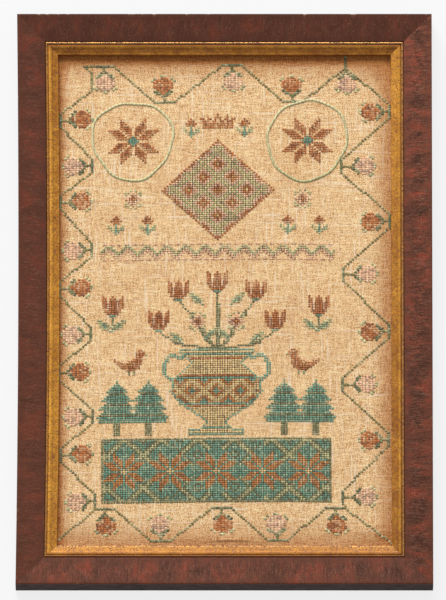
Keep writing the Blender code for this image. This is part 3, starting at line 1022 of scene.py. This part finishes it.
def ring_piece(name, column, row, wide, high, lean, egg, pale, context, materials, seed):
    """A ring in stem stitch: slanting legs that overlap along an uneven oval, which is
    (wide cos a, high sin a) times 1 + lean sin 2a + egg sin 3a + 0.015 sin (8a + column). The
    yarn is palest at the top, and pale is how far it has faded at the foot.
    """
    sizes = context.scene.sampler_stitches
    draw = np.random.default_rng(sizes.seed * 1000 + seed)
    angles = np.linspace(0, 2 * math.pi, 721)
    uneven = 1 + lean * np.sin(2 * angles) + egg * np.sin(3 * angles)
    uneven = uneven + 0.015 * np.sin(8 * angles + column)
    across, up = wide * uneven * np.cos(angles), high * uneven * np.sin(angles)
    x, y = canvas_to_cloth(column + across, row + up, sizes)
    run = np.concatenate([[0.0], np.cumsum(np.hypot(np.diff(x), np.diff(y)))])
    count = int(run[-1] / RING_STITCH)
    middle = (np.arange(count) + 0.5) * run[-1] / count
    reach = draw.uniform(1.3, 1.6, count) * MM
    ends = []
    for sign in (-1, 1):
        at = (middle + sign * reach) % run[-1]
        ahead = (at + 0.1 * MM) % run[-1]
        here = np.column_stack([np.interp(at, run, x), np.interp(at, run, y)])
        there = np.column_stack([np.interp(ahead, run, x), np.interp(ahead, run, y)])
        along = (there - here) / np.hypot(*(there - here).T)[:, None]
        out = np.column_stack([-along[:, 1], along[:, 0]])
        ends.append(here + out * sign * 0.25 * MM)
    widths = RING_YARN * draw.uniform(0.9, 1.15, count)
    rise = sizes.yarn_thick * 0.6 + 0.12 * MM * (np.arange(count) % 2)
    higher = (ends[0][:, 1] - y.min()) / (y.max() - y.min())
    fade = np.clip(pale + 0.75 * higher + 0.12 * draw.standard_normal(count), 0, 1)
    dyes = np.full(count, SAGE)
    return stitch_piece(name, ends[0], ends[1], rise, widths, widths * 0.6, 0.0, dyes, fade, materials)


# The strawberry of the border, growing up from its stalk
BERRY = """
....ss....
.s.bbbb.s.
s.bbbbbb.s
.bbbbbbbb.
.bbbbbbbb.
.bbbbbbbb.
..bbbbbb..
.ggbbbbgg.
..ggbbgg..
....gtg...
.....t....
.....t....
"""

# Where the border's vine turns, as (place along its side, distance out from the middle), in crosses
LEFT_OUT = ((84, -68), (46, -68), (6, -68), (-33, -68), (-71, -67))
LEFT_IN = ((63, -55), (24, -55), (-15, -55), (-53, -54), (-92, -53))
RIGHT_OUT = ((88, 68), (37, 68), (-14, 68), (-64, 68))
RIGHT_IN = ((62, 48), (12, 49), (-39, 49), (-91, 49))
TOP_OUT = ((-50, 109), (3, 109))
TOP_IN = ((-25, 92), (28, 92))
TOP_PEAK = (50, 108)
BOTTOM_OUT = ((-26, -111), (22, -111))
BOTTOM_IN = ((-49, -96), (-1, -96), (46, -96))

# How each kind of work is sewn: how far a leg reaches to either side, as a share of a cross, how
# many times the yarn's width it is, and how unevenly it lies
VINE_HAND = (0.56, 1.3, 1.6)
BERRY_HAND = (0.55, 1.4, 2.4)
MOTIF_HAND = (0.42, 1.25, 1.0)


def vine_side(turns, run):
    """The corners of a zigzag, which runs level for a few crosses at each of its turns."""
    return [(place + step, level) for place, level in sorted(turns) for step in (-run, run)]


def border_vine(canvas):
    """The zigzag vine of the border, one cross wide, darker where it runs level at its turns."""
    sides = [
        [corner[::-1] for corner in vine_side(LEFT_OUT + LEFT_IN, 3)],
        [corner[::-1] for corner in vine_side(RIGHT_OUT + RIGHT_IN, 3)],
        vine_side(TOP_OUT + TOP_IN, 4),
        vine_side(BOTTOM_OUT + BOTTOM_IN, 4),
    ]
    left, right, top, bottom = sides
    for side in sides:
        paint_line(canvas, side, OLIVE)
    for side in sides:
        for level in zip(side[::2], side[1::2]):
            paint_line(canvas, level, FOREST)
    for path in (
        [left[0], bottom[0], (-68, -110)],
        [right[0], bottom[-1], (69, -112)],
        [left[-1], (-55, 98), (-55, 106), (-58, 109), top[0]],
        [top[-1], TOP_PEAK, right[-1]],
    ):
        paint_line(canvas, path, OLIVE)
    paint_line(canvas, [TOP_PEAK, (TOP_PEAK[0], TOP_PEAK[1] + 6)], FOREST)


def border_strawberries(canvas):
    """The border's strawberries, which turn by turn are rust and pink.

    gap is how far each stands from the vine, and turn which way it grows.
    """
    for turns, gap, turn, berry in (
        (LEFT_OUT, 2, 3, RUST),
        (LEFT_IN, -1, 1, PINK),
        (RIGHT_OUT, -1, 1, RUST),
        (RIGHT_IN, 3, 3, PINK),
        (TOP_IN, 1, 0, RUST),
        (TOP_OUT + (TOP_PEAK,), -1, 2, PINK),
        (BOTTOM_IN, -1, 2, RUST),
        (BOTTOM_OUT, 1, 0, PINK),
    ):
        for place, level in turns:
            foot = (level + gap, place) if turn % 2 else (place, level + gap)
            paint_chart(canvas, BERRY, *foot, turn, dyes={"b": berry, **BERRY_LETTERS})
            if gap > 1:
                paint_line(canvas, [(level + 1, place), foot], OLIVE)


def neighbours(inside):
    """The four copies of a mask moved by one cross: up, down, left and right."""
    return [np.roll(inside, step, axis) for axis in (0, 1) for step in (1, -1)]


def edge_of(inside):
    """The outermost crosses of a shape: those that touch a bare place on any of four sides."""
    return inside & ~np.logical_and.reduce(neighbours(inside))


def star_shape(column, row, reach):
    """Eight lozenges round a middle: 0 < near <= reach and 0 < far - near <= reach, where near
    and far are the smaller and larger of the distances across and up.
    """
    across, up = np.abs(COLUMN - column), np.abs(ROW - row)
    near, far = np.minimum(across, up), np.maximum(across, up)
    return (near > 0) & (near <= reach) & (far > near) & (far - near <= reach)


def lozenge_shape(column, row, half_wide, half_high):
    """All places with across / half_wide + up / half_high <= 1."""
    return np.abs(COLUMN - column) / half_wide + np.abs(ROW - row) / half_high <= 1.001


def turned_shape(column, foot, outline):
    """A shape that is the same left and right: half its width is read off outline, which is
    ((height above foot, half width), ...).
    """
    heights, halves = np.array(outline, float).T
    height = ROW - foot
    half = np.interp(height, heights, halves)
    return (np.abs(COLUMN - column) <= half) & (height >= heights[0]) & (height <= heights[-1])


def diaper(column, row, pitch):
    """How far a place is from the middle of its lozenge, from 0 to pitch / 2, in a diaper whose
    lozenges meet at (column, row).
    """
    across = np.abs((COLUMN - column) % pitch - pitch / 2)
    up = np.abs((ROW - row) % pitch - pitch / 2)
    return np.minimum(across + up, pitch - across - up)


# Charts of the motifs, with a letter for each cross
TULIP = """
r...r...r
rr.rrr.rr
rr.rrr.rr
rrprrrprr
rrprrrprr
rrprrrprr
.rprrrpr.
.rrrrrrr.
..rrrrr..
...ttt...
"""
ROSE = """
...s.s...
.ss.p.ss.
.s.ppp.s.
..pprpp..
.pprarpp.
..pprpp..
.s.ppp.s.
.ss.p.ss.
...s.s...
"""
SPRIG = """
...r...
..rrr..
.rrarr.
..rrr..
s..t..s
ss.t.ss
.sststs
..stt..
...t...
"""
BIRD = """
..........rr...
.........rrrr..
.........rrrrs.
.........rrr...
r.......rrrr...
rrr...rrrrrr...
.rrrrraarrrr...
..rrraaarrr....
...rrrrrrrr....
.....rrrr......
......f.f......
......f.f......
"""
LEAF = """
....ss
..ssss
.ssts.
sstss.
.tss..
t.....
"""
CROWN = """
...y...r...y...
y..r..rrr..r..y
rr.rr.r.r.rr.rr
.rrr.rr.rr.rrr.
.rrrrrrrrrrrrr.
.arararararara.
.rrrrrrrrrrrrr.
"""

# Half the width of a pine and of the vase, by height
PINE = ((0, 1), (5, 1), (6, 7), (8, 8), (11, 5), (12, 7), (15, 4), (16, 6), (19, 3), (20, 4), (25, 0))
VASE = (
    *((0, 11), (2, 11), (3, 6), (6, 4), (9, 8), (14, 15), (20, 19)),
    *((26, 18), (30, 13), (33, 10), (35, 12), (38, 15), (39, 15)),
)

# The two lines of a handle, as (how far from the axis, row)
HANDLE = (
    ((13, -26), (19, -25), (22, -29), (22, -34), (19, -37)),
    ((14, -27), (19, -26), (21, -29), (21, -34), (18, -37)),
)

# The column that the motifs are set out from, and the row that the vase and the pines stand on
AXIS = -3
FOOT = -62


def eight_pointed_stars(canvas):
    """The two eight-pointed stars that stand inside the pale rings."""
    for column in (-38, 34):
        canvas[star_shape(column, 74, 5)] = RUST
        canvas[lozenge_shape(column, 74, 2, 2)] = TEAL


def rose_lattice(canvas):
    """A large lozenge that is divided into small ones, each with a rose in rust or amber."""
    whole = lozenge_shape(AXIS, 51, 23, 23)
    depth = diaper(AXIS, 51, 12)
    turn_about = (COLUMN - ROW + 54) // 12 % 2 == 0
    for part, dye in (
        (whole, SAGE),
        (depth > 5, STRAW),
        (depth <= 4, PINK),
        (depth <= 2.5, RUST),
        (depth <= 0.5, STRAW),
        ((depth <= 2.5) & turn_about, AMBER),
        (edge_of(whole), RUST),
    ):
        canvas[whole & part] = dye


def zigzag_divider(canvas):
    """A band of zigzags, pink under sage, between two broken lines."""
    wave = np.abs(COLUMN % 8 - 4)
    rise = ROW - 19
    over = rise - wave
    for part, dye in (
        ((over >= 0) & (over <= 1), PINK),
        ((over >= 2) & (over <= 3) & (rise < 7), SAGE),
        (((rise == 0) | (rise == 7)) & (COLUMN % 3 > 0), PINK),
    ):
        canvas[part & (COLUMN >= -51) & (COLUMN <= 45)] = dye


def straw_vase(canvas):
    """A two-handled vase in straw yarn, outlined in teal, with a chequered belly."""
    vase = turned_shape(AXIS, FOOT, VASE)
    canvas[vase] = STRAW
    belly = vase & (ROW >= -47) & (ROW <= -37)
    depth = diaper(AXIS, -42, 10)
    canvas[belly & (depth <= 3)] = AMBER
    canvas[belly & (depth <= 1)] = TEAL
    for dye, rows in ((TEAL, (-59, -48, -36, -25)), (RUST, (-49, -35, -27))):
        canvas[vase & np.isin(ROW, rows)] = dye
    canvas[edge_of(vase)] = TEAL
    for side in (-1, 1):
        for path in HANDLE:
            paint_line(canvas, [(AXIS + side * across, row) for across, row in path], TEAL)


def tulip_bouquet(canvas):
    """Tulips, roses and leaves on stems that spread from the vase's mouth."""
    tulips = ((-3, 4), (-19, 0), (13, 0), (-27, -14), (21, -14))
    roses = ((-11, -10), (5, -10))
    for column, row in tulips + roses:
        reach = column - AXIS
        mouth = AXIS + np.sign(reach)
        turn = (AXIS + reach * 0.7, row - 6)
        paint_line(canvas, [(mouth, -23), turn, (column, row)], FOREST)
        paint_line(canvas, [(mouth + 1, -23), (turn[0] + 1, turn[1])], FOREST)
    for column, row in ((-9, -2), (2, -18), (-17, -20)):
        paint_chart(canvas, LEAF, column - 2, row, mirror=True)
        paint_chart(canvas, LEAF, AXIS - column, row)
    for column, row in tulips:
        paint_chart(canvas, TULIP, column, row)
    for column, row in roses:
        paint_chart(canvas, ROSE, column, row - 4)


def pines_and_birds(canvas):
    """Pines, facing birds, tulips and small sprigs to the left and right of the vase."""
    for column in (-44, -31, 25, 38):
        pine = turned_shape(column, FOOT, PINE)
        canvas[pine] = TEAL
        canvas[pine & ((ROW % 5 == 2) | (ROW < FOOT + 6))] = FOREST
    for mirror, column in ((False, -38), (True, 32)):
        paint_chart(canvas, BIRD, column, -34, mirror=mirror)
    for column in (-46, 39):
        paint_chart(canvas, TULIP, column, -7)
        paint_line(canvas, [(column, -8), (column, -14)], FOREST)
        paint_chart(canvas, LEAF, column + 3, -14)
        paint_chart(canvas, LEAF, column - 3, -14, mirror=True)
    for column in (-45, -32, 26, 39):
        paint_chart(canvas, SPRIG, column, 31)


def crown_and_sprigs(canvas):
    """A small crown and sprigs between the two rings, and roses beside the lozenge."""
    for chart, column, row in (
        (CROWN, AXIS, 80),
        (SPRIG, -14, 76),
        (SPRIG, 8, 76),
        (ROSE, -38, 43),
        (ROSE, 32, 43),
    ):
        paint_chart(canvas, chart, column, row)


def blue_green_ground(canvas):
    """A wide band of blue-green diaper, darker and lighter by rows, with a row of stars on it."""
    band = (COLUMN >= -50) & (COLUMN <= 44) & (ROW >= -93) & (ROW <= -64)
    depth = diaper(AXIS, -79, 15)
    canvas[band] = TEAL
    canvas[band & (((depth > 5) & (depth <= 6)) | (np.abs(depth - 2) < 1))] = FOREST
    canvas[band & (depth > 6.5)] = SAGE
    for column in (-41, -22, -3, 16, 35):
        canvas[lozenge_shape(column, -79, 11, 13) & band] = TEAL
        canvas[star_shape(column, -79, 4) & band] = AMBER
        canvas[lozenge_shape(column, -79, 1, 1)] = STRAW
    canvas[edge_of(band)] = FOREST


# Each piece of stitching is named for the function that works it
BORDER = {border_vine: VINE_HAND, border_strawberries: BERRY_HAND}
MOTIFS = (
    eight_pointed_stars,
    rose_lattice,
    zigzag_divider,
    straw_vase,
    tulip_bouquet,
    pines_and_birds,
    crown_and_sprigs,
    blue_green_ground,
)

# Each ring's middle as (column, row), half its width and height in crosses, its lean, how
# egg-shaped it is, and how far it has faded at the foot
RINGS = ((-38.3, 74.5, 16.6, 18.0, 0.0, 0.05, 0.75), (33.9, 74.2, 16.4, 18.7, 0.04, 0.02, 0.4))


def yarn_set(context):
    """One material for each dye, made once and shared by all the stitching. None stands for bare."""
    colours = context.scene.sampler_colours
    made = bpy.data.materials
    return [None] + [made.get(f"wool_yarn_{dye}") or yarn_material(dye, colours) for dye in DYES[1:]]


class SAMPLER_OT_border(PieceOperator, bpy.types.Operator):
    """Works the border: the zigzag vine and its strawberries"""

    bl_idname = "sampler.border"
    bl_label = "Border"

    def execute(self, context):
        yarns = yarn_set(context)
        for seed, (work, hand) in enumerate(BORDER.items(), start=1):
            self.finish_piece(crosses_piece(work, context, yarns, seed, *hand), "stitching_yarn")
        return {"FINISHED"}


class SAMPLER_OT_motifs(PieceOperator, bpy.types.Operator):
    """Works the motifs inside the border, each as its own piece of stitching"""

    bl_idname = "sampler.motifs"
    bl_label = "Motifs"

    def execute(self, context):
        yarns = yarn_set(context)
        for seed, shape in enumerate(RINGS):
            ring = ring_piece(f"pale_ring_{seed + 1}", *shape, context, yarns, seed)
            self.finish_piece(ring, "stitching_yarn")
        for seed, work in enumerate(MOTIFS, start=10):
            piece = crosses_piece(work, context, yarns, seed, *MOTIF_HAND)
            self.finish_piece(piece, "stitching_yarn")
        return {"FINISHED"}


# The camera stands well back, so that the frame's sides stay parallel as they do in the photograph
CAMERA_ELEVATION = 75.0
CAMERA_LENS = 1150.0
CAMERA_SENSOR = 36.0
PICTURE_HEIGHT = 600 * 0.8 * MM
CAMERA_DISTANCE = PICTURE_HEIGHT * CAMERA_LENS / CAMERA_SENSOR
CAMERA_TARGET = (-1.1 * MM, -1.9 * MM, FRAME_DEPTH)
FLOOR_HALF = 6.0
FLOOR_FINISH = {
    "Roughness": 0.9,
    "Specular IOR Level": 0.2,
    "Emission Color": (1, 1, 1, 1),
    "Emission Strength": 0.8,
}
ROOM_STRENGTH = 0.4
WINDOW_SIZE = 4.6
WINDOW_WATTS = 874


def place_looking(thing, azimuth, elevation, distance, target):
    """Puts a light or camera into the scene, at an azimuth and elevation round target, looking at it.

    Azimuth 0 stands on the side of -Y, and 90 on the side of +X.
    """
    a, e = math.radians(azimuth), math.radians(elevation)
    back = (math.sin(a) * math.cos(e), -math.cos(a) * math.cos(e), math.sin(e))
    thing.location = [t + distance * b for t, b in zip(target, back)]
    thing.rotation_euler = (math.pi / 2 - e, 0, a)
    bpy.context.scene.collection.objects.link(thing)


class SAMPLER_OT_stage(PieceOperator, bpy.types.Operator):
    """Sets the floor, the soft light and the camera"""

    bl_idname = "sampler.stage"
    bl_label = "Stage"

    def execute(self, context):
        scene = context.scene
        mesh = bpy.data.meshes.new("floor")
        corners = [(FLOOR_HALF * x, FLOOR_HALF * y, 0) for x, y in ((-1, -1), (1, -1), (1, 1), (-1, 1))]
        mesh.from_pydata(corners, [], [(0, 1, 2, 3)])
        floor = bpy.data.objects.new("floor", mesh)
        scene.collection.objects.link(floor)
        acrylic = bpy.data.materials.new("lit_acrylic_floor")
        acrylic.use_nodes = True
        shader = acrylic.node_tree.nodes["Principled BSDF"]
        finish = {"Base Color": (*scene.sampler_colours.floor, 1), **FLOOR_FINISH}
        for key, value in finish.items():
            shader.inputs[key].default_value = value
        mesh.materials.append(acrylic)
        scene.world = bpy.data.worlds.new("soft_room")
        scene.world.use_nodes = True
        room = scene.world.node_tree.nodes["Background"]
        room.inputs["Color"].default_value = (1, 1, 1, 1)
        room.inputs["Strength"].default_value = ROOM_STRENGTH
        scene.view_settings.view_transform = "Standard"
        window = bpy.data.lights.new("window_light", "AREA")
        window.shape = "SQUARE"
        window.size = WINDOW_SIZE
        window.energy = WINDOW_WATTS
        light = bpy.data.objects.new("window_light", window)
        place_looking(light, azimuth=192, elevation=32, distance=8.0, target=(0, 0, 0))
        camera = bpy.data.cameras.new("camera")
        camera.lens = CAMERA_LENS
        camera.sensor_width = CAMERA_SENSOR
        camera.clip_end = 100
        scene.camera = bpy.data.objects.new("camera", camera)
        place_looking(scene.camera, 0, CAMERA_ELEVATION, CAMERA_DISTANCE, CAMERA_TARGET)
        return {"FINISHED"}


class SAMPLER_PT_panel(bpy.types.Panel):
    """Lists the sampler's pieces and its sizes and colours"""

    bl_idname = "SAMPLER_PT_panel"
    bl_label = "Sampler"
    bl_space_type = "VIEW_3D"
    bl_region_type = "UI"
    bl_category = "Sampler"

    def draw(self, context):
        for operator in OPERATORS:
            self.layout.operator(operator.bl_idname)
        for group in (getattr(context.scene, name) for name in GROUPS):
            for name in group.bl_rna.properties.keys():
                if name not in ("rna_type", "name"):
                    self.layout.prop(group, name)


OPERATORS = (
    SAMPLER_OT_stage,
    SAMPLER_OT_rails,
    SAMPLER_OT_slips,
    SAMPLER_OT_board,
    SAMPLER_OT_cloth,
    SAMPLER_OT_border,
    SAMPLER_OT_motifs,
)
GROUPS = {
    "sampler_frame": FrameSizes,
    "sampler_stitches": StitchSizes,
    "sampler_colours": SamplerColours,
}


def register():
    for name, group in GROUPS.items():
        bpy.utils.register_class(group)
        setattr(bpy.types.Scene, name, PointerProperty(type=group))
    for kind in (*OPERATORS, SAMPLER_PT_panel):
        bpy.utils.register_class(kind)


def unregister():
    for kind in reversed((*OPERATORS, SAMPLER_PT_panel)):
        bpy.utils.unregister_class(kind)
    for name, group in GROUPS.items():
        delattr(bpy.types.Scene, name)
        bpy.utils.unregister_class(group)


def main():
    register()
    for operator in OPERATORS:
        group, name = operator.bl_idname.split(".")
        getattr(getattr(bpy.ops, group), name)()


if __name__ == "__main__":
    main()
